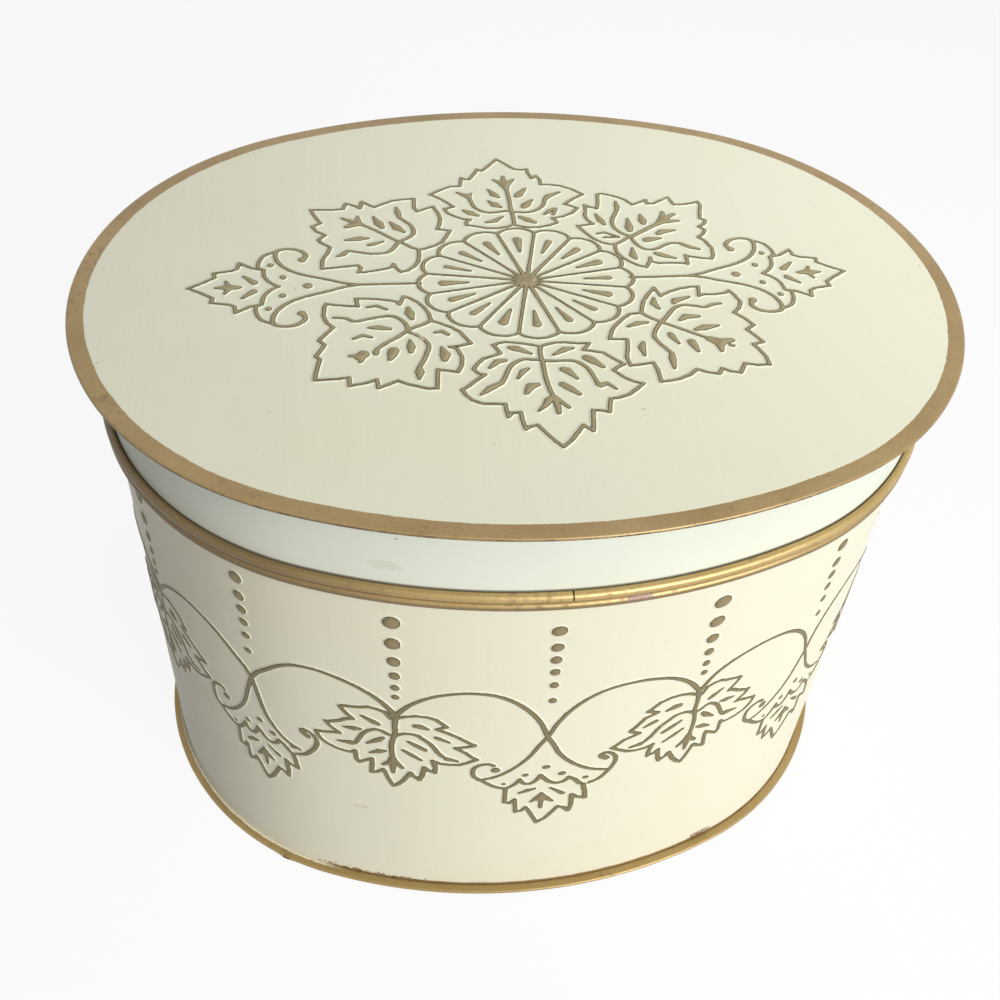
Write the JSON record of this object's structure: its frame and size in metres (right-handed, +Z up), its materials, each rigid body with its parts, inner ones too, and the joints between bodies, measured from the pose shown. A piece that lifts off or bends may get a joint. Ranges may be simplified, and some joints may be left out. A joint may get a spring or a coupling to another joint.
{
  "type": "lidded tin box",
  "caption": "Oval painted tin trinket box with straight walls, gold rims, leaf and rosette ornament, and a flat overhanging lid that lifts off a collar inside the mouth.",
  "frame": {"origin": "middle of the flat ring that the base stands on, at table height", "axes": "+X along the oval's length, -Y towards the side with the lid's seam, +Z up, the way the lid lifts"},
  "size_m": [0.2286, 0.1806, 0.163],
  "materials": {
    "cream_paint": "aged glossy cream enamel on sheet steel",
    "gold_paint": "worn satin gold paint on sheet steel",
    "tinned_steel": "bare tinned steel, slightly dulled",
    "solder": "dull soft solder"
  },
  "bodies": {
    "box": {"body_wall": "cream_paint", "body_rim_wire": "tinned_steel", "body_collar": "tinned_steel", "wall_seam_solder": "solder", "base_panel": "gold_paint"},
    "lid": {"lid_panel": "cream_paint", "lid_skirt": "cream_paint", "lid_hem_wire": "tinned_steel", "skirt_seam_solder": "solder"}
  },
  "joints": [
    {"name": "lid_lift", "type": "slide", "parent": "box", "child": "lid", "axis": [0, 0, 1], "range_m": [0, 0.06]}
  ]
}
